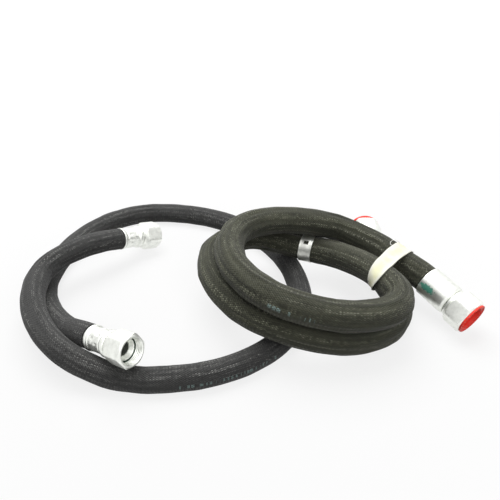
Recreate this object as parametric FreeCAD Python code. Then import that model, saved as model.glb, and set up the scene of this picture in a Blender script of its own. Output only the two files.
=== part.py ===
"""Two coiled hydraulic hose assemblies, one lying over the other.

Both hoses have crimped steel ferrules and 37 degree swivel nuts. The small hose lies
flat in one loose loop and a bit, its last strand stacked on its first. The large hose
lies over it in a leaning coil of almost two turns, held by a strap, with a plug in
each of its nuts.

Millimetres. Origin on the floor below the middle of the whole. +X right, +Y back, +Z up.
"""
import FreeCAD
import Part
import math
import os

os.makedirs("parts", exist_ok=True)
V = FreeCAD.Vector
UP = V(0, 0, 1)

# Driving sizes
SMALL_OD = 26.2            # size 12 hose, textile cover
SMALL_ID = 15.9
LARGE_OD = 31.8            # size 16 hose, textile cover
LARGE_ID = 22.2
FLOOR_CUT = 0.5            # how far the lying hose is pressed flat
FIT_GAP = 0.05             # between a bonded or crimped pair of faces
TURN_GAP = 0.06            # radial clearance of the swivel nut on its neck
FREE_GAP = 0.3             # between faces that pass each other without touching
END_STRAIGHT = 12.0        # straight hose behind each ferrule

SMALL_REST = SMALL_OD / 2 - FLOOR_CUT                  # axis of the small hose on the floor
SMALL_STACK = SMALL_REST + SMALL_OD                    # and on another small strand
LARGE_REST = LARGE_OD / 2 - FLOOR_CUT                  # axis of the large hose on the floor
LARGE_STACK = LARGE_REST + LARGE_OD                    # and on another large strand
OVER_SMALL = SMALL_OD - FLOOR_CUT + LARGE_OD / 2       # and on a small strand


def fitting_sizes(hose_od, hose_id, **own):
    """Sizes of one crimped swivel end; lengths run from the ferrule's back rim."""
    sizes = dict(hose_od=hose_od, hose_id=hose_id)
    sizes.update(own)
    sizes["nut_start"] = sizes["ferrule_len"] + NUT_SETBACK
    sizes["face"] = sizes["nut_start"] + sizes["nut_len"]
    return sizes


NUT_SETBACK = 0.5          # ferrule's front to the nut's back
SMALL_FITTING = fitting_sizes(
    SMALL_OD, SMALL_ID,
    ferrule_od=27.4, ferrule_in=22.8, ferrule_len=29.0, bore=12.0,
    across_flats=31.75, nut_len=27.0, collar_od=26.4, thread_id=24.7,
    head_od=23.4, neck_od=19.0)
LARGE_FITTING = fitting_sizes(
    LARGE_OD, LARGE_ID,
    ferrule_od=35.2, ferrule_in=31.0, ferrule_len=36.0, bore=18.0,
    across_flats=38.1, nut_len=26.0, collar_od=33.0, thread_id=31.05,
    head_od=29.8, neck_od=25.0)
NUT_TURNS = {"small_end_1": -8.0}    # degrees that a nut lies turned from one flat down

THREAD_LEN = 10.0          # plain wall that stands for the nut's thread
MOUTH_CHAMFER = 1.4
HEAD_SETBACK = 12.6        # nut's face to the nipple's head
HEAD_LEN = 6.7
SEAT_ANGLE = 37.0          # of the nipple's cone to its axis
RING_SETBACK = 23.4        # nut's face to the middle of the retaining ring
RING_WIRE = 1.6
RING_SPLIT = 2.0
HOSE_INSERT = 4.0          # cut end of the hose to the ferrule's front
MOUTH_FLARE = 3.0          # length of the ferrule's widened mouth
BARBS = 4
DIES = 8                   # flats that the crimping dies leave round a small ferrule

PLUG_FLANGE_OD = 38.0
PLUG_FLANGE = 2.2
PLUG_STEM = 9.0
PLUG_WALL = 1.8

BAND_WIDTH = 15.0
BAND_WALL = 0.5
BAND_GAP = 0.5             # the band is straight and the hose bends inside it
BAND_BORDER = 0.25
BAND_SLOT = (7.0, 3.2)     # its width across and along the hose
BAND_PAST_BACK = 44.5      # along the hose, from the low turn's back to the band

STRAP_WIDTH = 19.0
STRAP_WALL = 0.5
STRAP_GAP = 0.15           # between the strap and what it ties
STRAP_PLANES = 5           # sections that shape it across its width
STRAP_TO_MOUTH = 40.0      # along the tail, from the strap's middle to the ferrule
STRAP_TO_RIGHT = 31.0      # along the high turn, from the strap's middle to its right side


# Routes
def heading(degrees, slope=0.0):
    """Unit vector that points along a compass angle in plan and climbs by the slope."""
    a = math.radians(degrees)
    return V(math.cos(a), math.sin(a), slope).normalize()


SIDES = ("right", "front", "left", "back")     # clockwise from above


def loop_side(turn, side, lean=(0.0, 0.0)):
    """Station at one side of a clockwise loop: its point and its direction.

    A loop has a middle, half its width and depth, and for each side the height and how
    far the side's peak slips along the lay.
    """
    angle = -math.radians(90) * SIDES.index(side)
    out = V(math.cos(angle), math.sin(angle), 0)
    along = V(math.sin(angle), -math.cos(angle), 0)
    reach = turn["half_width"] if side in ("right", "left") else turn["half_depth"]
    point = V(*turn["middle"], 0) + out * reach + along * turn["slip"][side]
    point.z = turn["height"][side]
    along.z = lean[0] * along.x + lean[1] * along.y
    return point, along.normalize()


def beside(turn, across, deep, x, y, height):
    """Point measured from a loop's outline: across -1 is its left side, deep -1 its front."""
    middle = turn["middle"]
    return V(middle[0] + across * turn["half_width"] + x,
             middle[1] + deep * turn["half_depth"] + y, height)


def every_side(height):
    """The same height at all sides."""
    return {side: height for side in SIDES}


# Small hose: one loop on the floor, then its last strand over its first.
SMALL_LOOP = dict(middle=(-90.6, 0.0), half_width=151.7, half_depth=161.7,
                  slip=dict(right=32.1, front=-0.5, left=8.55, back=-36.3),
                  height=every_side(SMALL_REST))
SMALL_END_1 = (beside(SMALL_LOOP, -1, -1, 87.1, 34.7, SMALL_REST + 23.9),
               heading(-35.2, 0.207))
SMALL_TOUCH_DOWN = (beside(SMALL_LOOP, -1, -1, 51.6, 63.2, SMALL_REST + 10.1),
                    heading(135.05, -0.207))
SMALL_LIFT_OFF = (beside(SMALL_LOOP, -1, -1, 99.2, 6.1, SMALL_REST + 4.5),
                  heading(171.5, 0.36))
SMALL_STACKED = (beside(SMALL_LOOP, -1, 0, 6.0, -35.9, SMALL_STACK + 3.7), heading(90))
SMALL_END_2 = (beside(SMALL_LOOP, -1, 0, 81.6, 54.8, SMALL_REST + 24.0),
               heading(45.95, -0.33))

# Large hose: two turns that lean, high at the left, with the second on the first.
LEAN = (-0.187, 0.033)
LOW_TURN = dict(middle=(64.2, -44.7), half_width=105.6, half_depth=80.2,
                slip=dict(right=-5.5, front=-13.5, left=18.9, back=-36.1),
                height=dict(right=LARGE_REST + 0.3, front=OVER_SMALL - 8.7,
                            left=OVER_SMALL + 17.0, back=OVER_SMALL + 7.1))
HIGH_TURN_OFFSET = (3.1, -3.2)
HIGH_TURN_INSET = (17.9, 0.2)        # how much less half width and depth the high turn has
HIGH_TURN_RISE = dict(right=6.6, front=1.7, left=-3.3, back=-5.9)
HIGH_TURN = dict(middle=(LOW_TURN["middle"][0] + HIGH_TURN_OFFSET[0],
                         LOW_TURN["middle"][1] + HIGH_TURN_OFFSET[1]),
                 half_width=LOW_TURN["half_width"] - HIGH_TURN_INSET[0],
                 half_depth=LOW_TURN["half_depth"] - HIGH_TURN_INSET[1],
                 slip=dict(right=19.1, front=-13.7, left=6.3, back=31.5),
                 height={side: LOW_TURN["height"][side] + LARGE_OD + HIGH_TURN_RISE[side]
                         for side in SIDES})
TIGHT_BEND = (loop_side(HIGH_TURN, "right")[0], heading(-68.4, -0.033))
LARGE_UNWINDING = (beside(LOW_TURN, 1, 1, -29.7, -12.4, LARGE_STACK + 11.2),
                   heading(-27.0, -0.184))
LARGE_CROSSING = (beside(LOW_TURN, 1, 0, 6.1, 33.9, LARGE_STACK + 4.6),
                  heading(-36.6, -0.29))
LARGE_END_1 = (beside(LOW_TURN, 1, 0, 32.1, 7.9, LARGE_REST + 24.4),
               heading(-53.1, -0.235))
LARGE_END_2 = (beside(LOW_TURN, 1, 1, -15.8, 2.9, LARGE_REST + 5.0), heading(87.1, 0.03))


def small_stations():
    """The small hose's stations, from its first end clockwise to its second."""
    end, way = SMALL_END_1
    stations = [(end, way * -1), (end - way * END_STRAIGHT, way * -1), SMALL_TOUCH_DOWN]
    for side in ("left", "back", "right", "front"):
        stations.append(loop_side(SMALL_LOOP, side))
    end, way = SMALL_END_2
    stations += [SMALL_LIFT_OFF, SMALL_STACKED, (end - way * END_STRAIGHT, way), (end, way)]
    return stations


def large_stations():
    """The large hose's stations, from its second end through both turns to its first."""
    end, way = LARGE_END_2
    stations = [(end, way * -1), (end - way * END_STRAIGHT, way * -1)]
    for side in SIDES:
        stations.append(loop_side(LOW_TURN, side, LEAN))
    stations.append(TIGHT_BEND)
    for side in SIDES[1:]:
        stations.append(loop_side(HIGH_TURN, side, LEAN))
    end, way = LARGE_END_1
    stations += [LARGE_UNWINDING, LARGE_CROSSING, (end - way * END_STRAIGHT, way), (end, way)]
    return stations


def arc_edge(start, way, end):
    """Edge from start, leaving along way, to end: an arc, or a line if it is straight."""
    chord = end - start
    turn = way.getAngle(chord)
    if turn < 1e-4:
        return Part.LineSegment(start, end).toShape(), None
    unit = V(chord).normalize()
    side = way - unit * way.dot(unit)
    side.normalize()
    middle = (start + end) * 0.5 + side * (chord.Length / 2 * math.tan(turn / 2))
    radius = chord.Length / 2 / math.sin(turn)
    return Part.Arc(start, middle, end).toShape(), radius


def biarc(start, way, end, end_way):
    """Two arcs that leave start and reach end along the given directions."""
    span = end - start
    total = way + end_way
    spread = 2 * (1 - way.dot(end_way))
    if spread < 1e-9:
        reach = span.dot(span) / (4 * span.dot(end_way))
    else:
        back = span.dot(total)
        reach = (math.sqrt(back * back + spread * span.dot(span)) - back) / spread
    joint = (start + way * reach + end - end_way * reach) * 0.5
    joint_way = ((end - end_way * reach) - (start + way * reach)).normalize()
    return [arc_edge(start, way, joint), arc_edge(joint, joint_way, end)]


def route(stations):
    """One wire through all stations, and its radii."""
    edges = []
    radii = []
    for (start, way), (end, end_way) in zip(stations, stations[1:]):
        if way.getAngle(end - start) < 1e-4:
            edges.append(Part.LineSegment(start, end).toShape())
            continue
        for edge, radius in biarc(start, way, end, end_way):
            edges.append(edge)
            radii.append(radius)
    return Part.Wire(edges), [r for r in radii if r]


def least_gap(points, others, apart, width):
    """Least gap between two tubes, or between far stretches of one tube."""
    least = 1e9
    step = points[0].distanceToPoint(points[1])
    same = points is others
    for i, p in enumerate(points):
        start = i + int(apart / step) if same else 0
        for q in others[start:]:
            least = min(least, p.distanceToPoint(q))
    return least - width


# Shapes
def revolved(profile):
    """Solid of revolution about Z from (radius, height) corners."""
    corners = [V(r, 0, z) for r, z in profile]
    face = Part.Face(Part.makePolygon(corners + corners[:1]))
    return face.revolve(V(0, 0, 0), UP, 360)


def placed(shape, end):
    """Shape moved from its own axis, +Z to the mouth, to a hose end, one flat down."""
    point, way = end
    high = (UP - way * way.dot(UP)).normalize()
    across = high.cross(way)
    moved = shape.copy()
    turn = FreeCAD.Rotation(across, high, way, "ZYX")
    moved.Placement = FreeCAD.Placement(point, turn)
    return moved


def prism(sides, across_flats, start, length):
    """Regular prism along Z with one flat facing -Y."""
    radius = across_flats / 2 / math.cos(math.pi / sides)
    first = -math.pi / 2 + math.pi / sides
    corners = []
    for k in range(sides):
        a = first + 2 * math.pi * k / sides
        corners.append(V(radius * math.cos(a), radius * math.sin(a), start))
    face = Part.Face(Part.makePolygon(corners + corners[:1]))
    return face.extrude(V(0, 0, length))


def squeezed_end(s):
    """The hose's end inside the ferrule, necked down and cut square."""
    full = s["hose_od"] / 2
    tight = s["ferrule_in"] / 2 - FIT_GAP
    bore = s["hose_id"] / 2
    cut = s["ferrule_len"] - HOSE_INSERT
    return revolved([(bore, 0), (full, 0), (tight, MOUTH_FLARE), (tight, cut), (bore, cut)])


def tube(wire, diameter):
    """Round tube along a wire."""
    start = wire.OrderedVertexes[0].Point
    way = wire.OrderedEdges[0].tangentAt(wire.OrderedEdges[0].FirstParameter)
    if wire.OrderedEdges[0].valueAt(wire.OrderedEdges[0].FirstParameter).distanceToPoint(start) > 1:
        way = way * -1
    ring = Part.Wire(Part.makeCircle(diameter / 2, start, way))
    return wire.makePipeShell([ring], True, False)


def hose(name, stations, sizes, ends):
    """One whole hose with its bore, its two squeezed ends and its flat on the floor."""
    wire, radii = route(stations)
    outer = tube(wire, sizes["hose_od"])
    bore = tube(wire, sizes["hose_id"])
    section = math.pi * sizes["hose_od"] ** 2 / 4
    print(name, "length %.0f" % wire.Length, "least radius %.0f" % min(radii),
          "volume over section x length %.4f" % (outer.Volume / section / wire.Length))
    print(name, "radii", " ".join("%.0f" % r for r in radii))
    solid = outer.cut(bore)
    for end in ends:
        solid = solid.fuse(placed(squeezed_end(sizes), end))
    return pressed_flat(solid.removeSplitter()), wire.discretize(Number=900)


def pressed_flat(solid):
    """Solid without what would reach below the floor."""
    box = solid.BoundBox
    depth = 1 - min(box.ZMin, 0)
    corner = V(box.XMin - 1, box.YMin - 1, -depth)
    return solid.cut(Part.makeBox(box.XLength + 2, box.YLength + 2, depth, corner))


def nipple(s):
    """Barbed tail in the hose, groove for the ferrule, neck, and head with its cone."""
    bore = s["bore"] / 2
    barb = s["hose_id"] / 2 - FIT_GAP
    root = barb - 0.5
    cut = s["ferrule_len"] - HOSE_INSERT
    profile = [(bore, 3), (root, 3)]
    pitch = (cut - 6) / BARBS
    for k in range(BARBS):
        foot = 4 + k * pitch
        profile += [(root, foot), (barb, foot + pitch * 0.7), (barb, foot + pitch * 0.8)]
    neck = s["neck_od"] / 2
    head = s["head_od"] / 2
    head_start = s["face"] - HEAD_SETBACK - HEAD_LEN
    head_end = s["face"] - HEAD_SETBACK
    ring = s["face"] - RING_SETBACK
    groove = neck - RING_WIRE / 2 - 0.1
    shoulder = s["ferrule_in"] / 2 - 1.5
    seat = head - 0.8
    seat_depth = (seat - bore) / math.tan(math.radians(SEAT_ANGLE))
    profile += [(root, cut - 1), (root, cut + 0.3), (shoulder, cut + 0.3),
                (shoulder, cut + 2), (neck, cut + 2),
                (neck, ring - 0.9), (groove, ring - 0.9), (groove, ring + 0.9),
                (neck, ring + 0.9), (neck, head_start),
                (head, head_start + 1.5), (head, head_end - 0.5), (head - 0.5, head_end),
                (seat, head_end), (bore, head_end - seat_depth)]
    return revolved(profile)


def ferrule_inside(s):
    """Corners of the ferrule's inner wall, from its front lip back to its mouth."""
    neck = s["neck_od"] / 2 + FIT_GAP
    inner = s["ferrule_in"] / 2
    end = s["ferrule_len"]
    return [(neck, end), (neck, end - 1.9), (inner, end - 1.9), (inner, MOUTH_FLARE),
            (s["hose_od"] / 2 + FIT_GAP, 0)]


def dented_ferrule(s):
    """Rolled lip, groove, crimped skirt with the dies' flats, and a bulging collar."""
    r = s["ferrule_od"] / 2
    end = s["ferrule_len"]
    outside = [(r - 0.2, 0), (r, 0.6), (r, 2.0), (r - 0.7, 2.8),
               (r - 0.7, 4.8), (r - 1.6, 5.2), (r - 1.6, 6.2), (r - 1.0, 6.9),
               (r - 1.0, end - 8.0), (r - 1.6, end - 7.4), (r - 1.6, end - 6.8),
               (r - 0.1, end - 5.6), (r + 0.4, end - 4.2), (r + 0.4, end - 2.4),
               (r - 0.2, end - 0.7), (r - 1.2, end)]
    body = revolved(outside + ferrule_inside(s))
    start, length = 8.0, end - 17.5
    dies = Part.makeCylinder(r + 3, length, V(0, 0, start))
    dies = dies.cut(prism(DIES, 2 * (r - 1.35), start, length))
    return body.cut(dies)


def smooth_ferrule(s):
    """Plain skirt with rounded rims and a short necked collar."""
    r = s["ferrule_od"] / 2
    end = s["ferrule_len"]
    outside = [(r - 0.8, 0), (r - 0.2, 0.4), (r, 1.2), (r, end - 3.4),
               (r - 0.5, end - 1.6), (r - 1.6, end - 0.4), (r - 2.4, end)]
    return revolved(outside + ferrule_inside(s))


def swivel_nut(s):
    """Hexagon with a round back collar; inside are the thread, relief and neck bore."""
    start, face = s["nut_start"], s["face"]
    corner = s["across_flats"] / 2 / math.cos(math.pi / 6)
    collar = s["collar_od"] / 2
    thread = s["thread_id"] / 2
    flare = (corner - collar) * 0.8
    envelope = revolved([
        (0, start), (collar - 0.6, start), (collar, start + 0.6), (collar, start + 2.6),
        (corner + 0.1, start + 2.6 + flare), (corner + 0.1, face - 1.5),
        (corner - 2.6, face), (0, face)])
    body = envelope.common(prism(6, s["across_flats"], start, s["nut_len"]))
    neck = s["neck_od"] / 2 + TURN_GAP
    head = s["head_od"] / 2 + FREE_GAP
    ring = face - RING_SETBACK
    groove = s["neck_od"] / 2 + RING_WIRE / 2 + 0.1
    relief_end = face - HEAD_SETBACK - 1.0
    thread_start = face - MOUTH_CHAMFER - THREAD_LEN
    seat_start = face - HEAD_SETBACK - HEAD_LEN - 0.2
    inside = revolved([
        (0, start - 1), (neck, start - 1), (neck, ring - 0.9), (groove, ring - 0.9),
        (groove, ring + 0.9), (neck, ring + 0.9), (neck, seat_start),
        (head, seat_start + 1.5), (head, relief_end), (thread + 0.8, relief_end + 0.4),
        (thread + 0.8, thread_start - 0.5), (thread, thread_start),
        (thread, face - MOUTH_CHAMFER), (thread + MOUTH_CHAMFER, face),
        (thread + MOUTH_CHAMFER, face + 1), (0, face + 1)])
    return body.cut(inside)


def retaining_ring(s):
    """Split ring of square wire that sits half in the neck and half in the nut."""
    middle = s["neck_od"] / 2
    half = RING_WIRE / 2
    z = s["face"] - RING_SETBACK
    ring = revolved([(middle - half, z - half), (middle + half, z - half),
                     (middle + half, z + half), (middle - half, z + half)])
    split = Part.makeBox(s["neck_od"], RING_SPLIT, RING_WIRE * 2, V(0, -RING_SPLIT / 2, z - RING_WIRE))
    return ring.cut(split)


def plug(s):
    """Plastic cup plug: stem in the nut's thread, flange on its face, hollow middle."""
    face = s["face"] + FIT_GAP
    stem = s["thread_id"] / 2 - FREE_GAP
    cup = stem - PLUG_WALL
    flange = PLUG_FLANGE_OD / 2
    floor = face - PLUG_STEM + PLUG_WALL
    return revolved([
        (0, face - PLUG_STEM), (stem - 1.2, face - PLUG_STEM), (stem - 0.3, face - PLUG_STEM + 1.0),
        (stem, face - 2), (stem, face), (flange - 0.4, face), (flange, face + 0.4),
        (flange, face + PLUG_FLANGE - 0.5), (flange - 0.5, face + PLUG_FLANGE),
        (flange - 2.2, face + PLUG_FLANGE), (flange - 2.6, face + PLUG_FLANGE - 0.8),
        (cup + 0.6, face + PLUG_FLANGE - 0.8), (cup, face + 0.8), (cup - 0.5, floor), (0, floor)])


def nearest(points, target):
    """Index of the route point nearest to a target."""
    return min(range(len(points)), key=lambda i: points[i].distanceToPoint(target))


def steps(points, distance):
    """How many route points a distance along the hose takes."""
    return round(distance / points[0].distanceToPoint(points[1]))


def way_at(points, i):
    """Direction of the route at one of its points."""
    return (points[i + 3] - points[i - 3]).normalize()


def id_band(points):
    """Thin metal ring with raised borders and one slot, round the large hose."""
    i = nearest(points, loop_side(LOW_TURN, "back")[0]) + steps(points, BAND_PAST_BACK)
    inner = LARGE_OD / 2 + BAND_GAP
    outer = inner + BAND_WALL
    rim = outer + BAND_BORDER
    half = BAND_WIDTH / 2
    band = revolved([(inner, -half), (rim, -half), (rim, 1.4 - half), (outer, 1.8 - half),
                     (outer, half - 1.8), (rim, half - 1.4), (rim, half), (inner, half)])
    width, length = BAND_SLOT
    slot = Part.makeBox(width, 6.0, length, V(-width / 2, inner - 3, half - length - 2.3))
    slot.rotate(V(0, 0, 0), UP, -12)
    return placed(band.cut(slot), (points[i], way_at(points, i)))


def on_plane(points, start, origin, way):
    """Where and in what direction the route crosses a plane, near a given index."""
    for i in range(max(start - 30, 3), min(start + 30, len(points) - 4)):
        low = (points[i] - origin).dot(way)
        high = (points[i + 1] - origin).dot(way)
        if low <= 0 < high:
            point = points[i] + (points[i + 1] - points[i]) * (-low / (high - low))
            return point, way_at(points, i)
    raise ValueError("the strap's plane misses the hose")


def belt_section(first, first_radius, second, second_radius, way):
    """Closed outline round two circles: two tangent lines and four arcs."""
    unit = (second - first).normalize()
    lift = (first_radius - second_radius) / first.distanceToPoint(second)
    side = way.cross(unit) * math.sqrt(1 - lift * lift)
    one = side + unit * lift
    other = unit * lift - side

    def line(a):
        start, end = first + a * first_radius, second + a * second_radius
        return Part.LineSegment(start, end).toShape()

    def arc(centre, radius, a, b):
        middle = centre + (a + b).normalize() * radius
        return Part.Arc(centre + a * radius, middle, centre + b * radius).toShape()

    edges = [line(one), arc(second, second_radius, one, unit), arc(second, second_radius, unit, other),
             line(other), arc(first, first_radius, other, unit * -1),
             arc(first, first_radius, unit * -1, one)]
    return Part.Wire(Part.sortEdges(edges)[0])


def tie_strap(points):
    """Flat strap once round the large hose's tail and its tight bend.

    Where a hose crosses one of the strap's planes at a slant its section is an ellipse,
    and the strap's outline there clears that ellipse.
    """
    tail = len(points) - 1 - steps(points, STRAP_TO_MOUTH)
    bend = nearest(points, TIGHT_BEND[0]) - steps(points, STRAP_TO_RIGHT)
    way = (way_at(points, tail) + way_at(points, bend)).normalize()
    inside = []
    outside = []
    for k in range(STRAP_PLANES):
        origin = points[tail] + way * (STRAP_WIDTH * (k / (STRAP_PLANES - 1) - 0.5))
        first, first_way = on_plane(points, tail, origin, way)
        second, second_way = on_plane(points, bend, origin, way)
        one, other = [LARGE_OD / 2 / math.cos(way.getAngle(along)) + STRAP_GAP
                      for along in (first_way, second_way)]
        print("strap plane %d, radii %.2f and %.2f" % (k, one, other))
        inside.append(belt_section(first, one, second, other, way))
        outside.append(belt_section(first, one + STRAP_WALL, second, other + STRAP_WALL, way))
    return Part.makeLoft(outside, True, True).cut(Part.makeLoft(inside, True, True))


# The pieces
def build():
    """All pieces by name."""
    small_ends = {"small_end_1": SMALL_END_1, "small_end_2": SMALL_END_2}
    large_ends = {"large_end_1": LARGE_END_1, "large_end_2": LARGE_END_2}
    pieces = {}
    pieces["small_hose"], small_points = hose(
        "small_hose", small_stations(), SMALL_FITTING, small_ends.values())
    pieces["large_hose"], large_points = hose(
        "large_hose", large_stations(), LARGE_FITTING, large_ends.values())
    print("small hose, least gap to itself %.2f" % least_gap(small_points, small_points, 90, SMALL_OD))
    print("large hose, least gap to itself %.2f" % least_gap(large_points, large_points, 70, LARGE_OD))
    print("between the hoses %.2f" % least_gap(
        small_points, large_points, 0, (SMALL_OD + LARGE_OD) / 2))
    for ends, sizes, ferrule in ((small_ends, SMALL_FITTING, dented_ferrule),
                                 (large_ends, LARGE_FITTING, smooth_ferrule)):
        own = dict(nipple=nipple(sizes), ferrule=ferrule(sizes), nut=swivel_nut(sizes),
                   ring=retaining_ring(sizes))
        if sizes is LARGE_FITTING:
            own["plug"] = plug(sizes)
        for name, end in ends.items():
            for piece, shape in own.items():
                pieces[name + "_" + piece] = placed(shape, end)
            turned = own["nut"].copy()
            turned.rotate(V(0, 0, 0), UP, NUT_TURNS.get(name, 0.0))
            pieces[name + "_nut"] = placed(turned, end)
    pieces["id_band"] = id_band(large_points)
    pieces["tie_strap"] = tie_strap(large_points)
    return pieces


def report(pieces):
    """Print the whole box and where a mating part screws on."""
    whole = Part.makeCompound(list(pieces.values())).BoundBox
    print("box x %.2f %.2f y %.2f %.2f z %.2f %.2f" % (
        whole.XMin, whole.XMax, whole.YMin, whole.YMax, whole.ZMin, whole.ZMax))
    for name, (point, way) in (("small_end_1", SMALL_END_1), ("small_end_2", SMALL_END_2)):
        mouth = point + way * (SMALL_FITTING["face"] - MOUTH_CHAMFER - THREAD_LEN / 2)
        print(name, "thread middle", mouth, "axis", way, "radius", SMALL_FITTING["thread_id"] / 2)
    for name, shape in pieces.items():
        solids = len(shape.Solids)
        if solids != 1 or not shape.isValid():
            print("CHECK", name, "solids", solids, "valid", shape.isValid())


pieces = build()
report(pieces)
for name, shape in pieces.items():
    shape.exportStep("parts/%s.step" % name)
print(len(pieces), "pieces")
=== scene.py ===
# %% [markdown]
# # Two coiled hydraulic hoses
#
# This notebook dresses a packed CAD model of two hydraulic hose assemblies. Every piece
# that the camera can see is built again on the CAD's sizes and axes, because braid, die
# marks, threads and webbing need a finer surface than a CAD solid carries. The pieces
# inside stay as the CAD has them.

import math
from functools import partial, partialmethod

import bpy
import numpy as np
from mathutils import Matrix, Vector
from mathutils.geometry import convex_hull_2d


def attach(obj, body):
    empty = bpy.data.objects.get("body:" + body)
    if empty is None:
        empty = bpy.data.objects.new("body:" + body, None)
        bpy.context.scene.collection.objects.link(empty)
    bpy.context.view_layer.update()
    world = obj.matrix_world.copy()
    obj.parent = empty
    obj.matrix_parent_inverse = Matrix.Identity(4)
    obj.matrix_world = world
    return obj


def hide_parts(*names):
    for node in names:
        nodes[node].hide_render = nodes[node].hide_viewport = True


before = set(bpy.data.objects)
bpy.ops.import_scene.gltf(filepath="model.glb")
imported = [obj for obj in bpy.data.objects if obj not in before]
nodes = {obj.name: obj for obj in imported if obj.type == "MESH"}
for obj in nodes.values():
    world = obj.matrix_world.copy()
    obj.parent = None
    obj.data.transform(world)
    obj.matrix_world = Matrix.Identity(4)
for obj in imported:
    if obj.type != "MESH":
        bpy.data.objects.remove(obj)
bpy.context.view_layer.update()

# %% [markdown]
# ## Camera
#
# The picture looks down on the hoses from about 42 cm up and 54 cm in front. A longer or
# shorter lens would change how much the near loop outgrows the far one, so the lens is
# the one that makes both hoses measure right: 40 mm on a 36 mm sensor.

# %% Camera
CAMERA_PLACE = (0.0020, -0.5429, 0.4196)
CAMERA_TILT = 33.81      # degrees below the horizon
LENS = 40.32
SENSOR = 36

camera = bpy.data.objects.new("camera", bpy.data.cameras.new("camera"))
bpy.context.collection.objects.link(camera)
camera.location = CAMERA_PLACE
camera.rotation_euler = (math.radians(90 - CAMERA_TILT), 0, 0)
camera.data.lens = LENS
camera.data.sensor_width = SENSOR
bpy.context.scene.camera = camera
print("camera", tuple(round(c, 3) for c in camera.location))

# %% [markdown]
# ## Routes of the hoses
#
# A hose that lies in loops follows a few stations: the point and the direction at each
# side of each loop, and at each end. They are the same stations as in the CAD source, in
# metres. Every other station is measured from the outline of its loop.

# %% Sizes of the hoses and their ends
SMALL_OD = 0.0262
LARGE_OD = 0.0318
FLOOR_CUT = 0.0005
END_STRAIGHT = 0.012
SMALL_REST = SMALL_OD / 2 - FLOOR_CUT
SMALL_STACK = SMALL_REST + SMALL_OD
LARGE_REST = LARGE_OD / 2 - FLOOR_CUT
LARGE_STACK = LARGE_REST + LARGE_OD
OVER_SMALL = SMALL_OD - FLOOR_CUT + LARGE_OD / 2
SIDES = ("right", "front", "left", "back")


def heading(degrees, slope=0.0):
    """Unit vector along a compass angle in plan that climbs by the slope."""
    a = math.radians(degrees)
    return Vector((math.cos(a), math.sin(a), slope)).normalized()


def loop_side(turn, side, lean=(0.0, 0.0)):
    """Point and direction at one side of a clockwise loop."""
    angle = -math.radians(90) * SIDES.index(side)
    out = Vector((math.cos(angle), math.sin(angle), 0))
    along = Vector((math.sin(angle), -math.cos(angle), 0))
    reach = turn["half_width"] if side in ("right", "left") else turn["half_depth"]
    point = Vector((*turn["middle"], 0)) + out * reach + along * turn["slip"][side]
    point.z = turn["height"][side]
    along.z = lean[0] * along.x + lean[1] * along.y
    return point, along.normalized()


def beside(turn, across, deep, x, y, height):
    """Point measured from a loop's outline: across -1 is its left side, deep -1 its front."""
    middle = turn["middle"]
    return Vector((middle[0] + across * turn["half_width"] + x,
                   middle[1] + deep * turn["half_depth"] + y, height))


def end_run(end, leaving):
    """The two stations of the straight hose at one end."""
    point, way = end
    behind = point - way * END_STRAIGHT
    return [(point, -way), (behind, -way)] if leaving else [(behind, way), (point, way)]


print("small hose %.1f mm, large hose %.1f mm" % (SMALL_OD * 1000, LARGE_OD * 1000))

# %% Small hose: one loop on the floor, then its last strand over its first
SMALL_LOOP = dict(middle=(-0.0906, 0.0), half_width=0.1517, half_depth=0.1617,
                  slip=dict(right=0.0321, front=-0.0005, left=0.00855, back=-0.0363),
                  height={side: SMALL_REST for side in SIDES})
SMALL_END_1 = (beside(SMALL_LOOP, -1, -1, 0.0871, 0.0347, SMALL_REST + 0.0239),
               heading(-35.2, 0.207))
SMALL_TOUCH_DOWN = (beside(SMALL_LOOP, -1, -1, 0.0516, 0.0632, SMALL_REST + 0.0101),
                    heading(135.05, -0.207))
SMALL_LIFT_OFF = (beside(SMALL_LOOP, -1, -1, 0.0992, 0.0061, SMALL_REST + 0.0045),
                  heading(171.5, 0.36))
SMALL_STACKED = (beside(SMALL_LOOP, -1, 0, 0.0060, -0.0359, SMALL_STACK + 0.0037), heading(90))
SMALL_END_2 = (beside(SMALL_LOOP, -1, 0, 0.0816, 0.0548, SMALL_REST + 0.0240),
               heading(45.95, -0.33))

small_stations = end_run(SMALL_END_1, True) + [SMALL_TOUCH_DOWN]
small_stations += [loop_side(SMALL_LOOP, side) for side in ("left", "back", "right", "front")]
small_stations += [SMALL_LIFT_OFF, SMALL_STACKED] + end_run(SMALL_END_2, False)
print(len(small_stations), "stations on the small hose")

# %% Large hose: two leaning turns, the second on the first
LEAN = (-0.187, 0.033)
LOW_TURN = dict(middle=(0.0642, -0.0447), half_width=0.1056, half_depth=0.0802,
                slip=dict(right=-0.0055, front=-0.0135, left=0.0189, back=-0.0361),
                height=dict(right=LARGE_REST + 0.0003, front=OVER_SMALL - 0.0087,
                            left=OVER_SMALL + 0.0170, back=OVER_SMALL + 0.0071))
HIGH_RISE = dict(right=0.0066, front=0.0017, left=-0.0033, back=-0.0059)
HIGH_TURN = dict(middle=(0.0673, -0.0479), half_width=0.0877, half_depth=0.0800,
                 slip=dict(right=0.0191, front=-0.0137, left=0.0063, back=0.0315),
                 height={side: LOW_TURN["height"][side] + LARGE_OD + HIGH_RISE[side]
                         for side in SIDES})
TIGHT_BEND = (loop_side(HIGH_TURN, "right")[0], heading(-68.4, -0.033))
LARGE_UNWINDING = (beside(LOW_TURN, 1, 1, -0.0297, -0.0124, LARGE_STACK + 0.0112),
                   heading(-27.0, -0.184))
LARGE_CROSSING = (beside(LOW_TURN, 1, 0, 0.0061, 0.0339, LARGE_STACK + 0.0046),
                  heading(-36.6, -0.29))
LARGE_END_1 = (beside(LOW_TURN, 1, 0, 0.0321, 0.0079, LARGE_REST + 0.0244),
               heading(-53.1, -0.235))
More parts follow.
